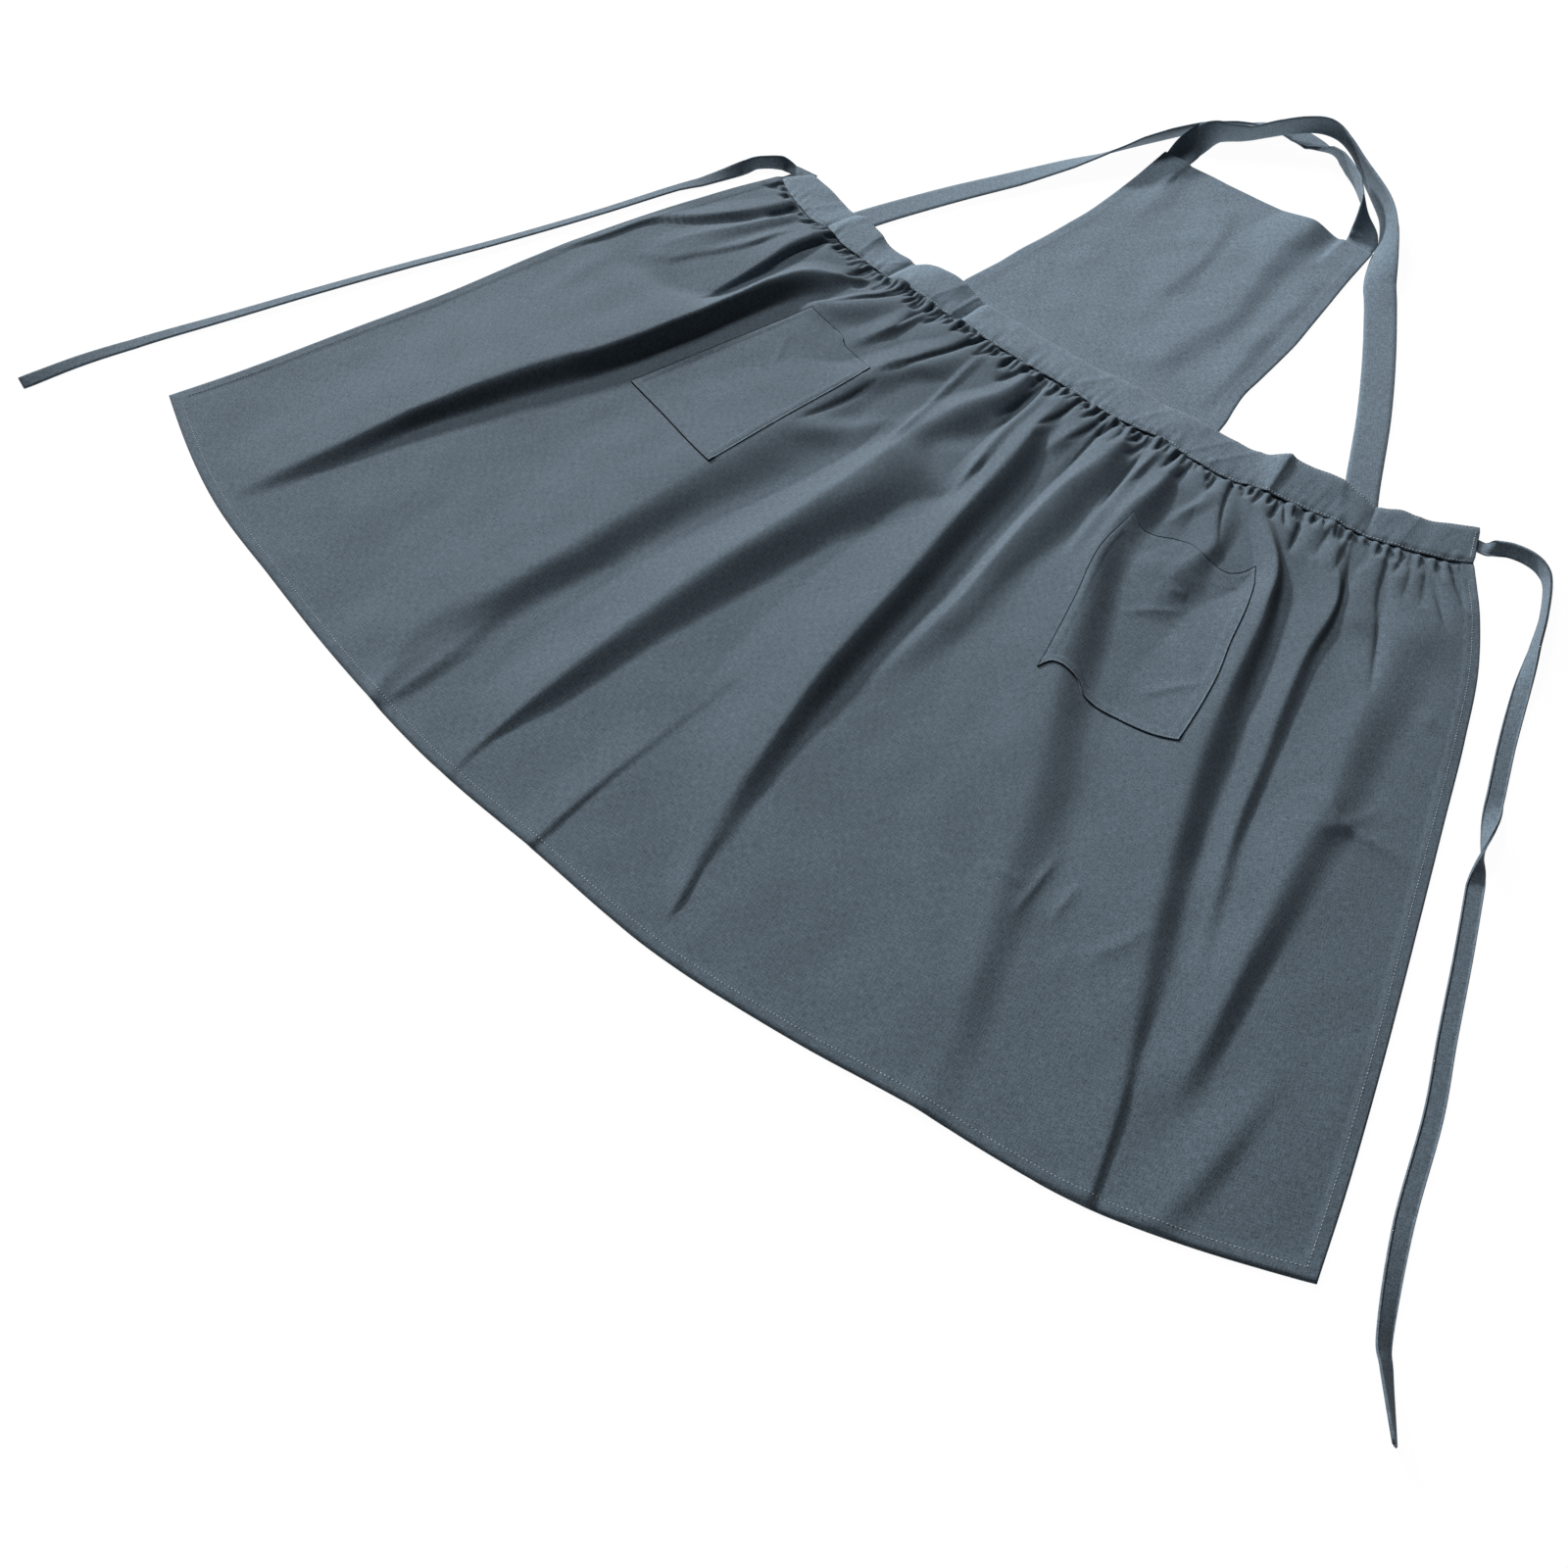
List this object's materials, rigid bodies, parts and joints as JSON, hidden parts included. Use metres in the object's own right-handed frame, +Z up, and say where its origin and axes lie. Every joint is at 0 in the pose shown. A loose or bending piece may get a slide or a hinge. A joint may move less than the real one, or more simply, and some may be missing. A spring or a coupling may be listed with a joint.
{
  "type": "pinafore apron",
  "caption": "Cross-back kitchen apron laid flat: bib, doubled waistband, gathered skirt with patch pockets, straps that cross above the bib and long waist ties.",
  "frame": {"origin": "middle of the apron's footprint, on the surface that it lies on", "axes": "+X along the waistband towards the right in a view of the front, +Y from the hem to the bib, +Z up out of the front of the cloth"},
  "size_m": [1.3866, 1.1336, 0.0391],
  "materials": {
    "cloth": "matt slate blue-grey cotton-linen, plain weave with small pale slubs"
  },
  "bodies": {
    "root": {"skirt": "cloth", "pocket_left": "cloth", "pocket_right": "cloth", "waistband": "cloth", "bib": "cloth", "strap_left": "cloth", "strap_right": "cloth", "tie_left": "cloth", "tie_right": "cloth"}
  },
  "joints": []
}
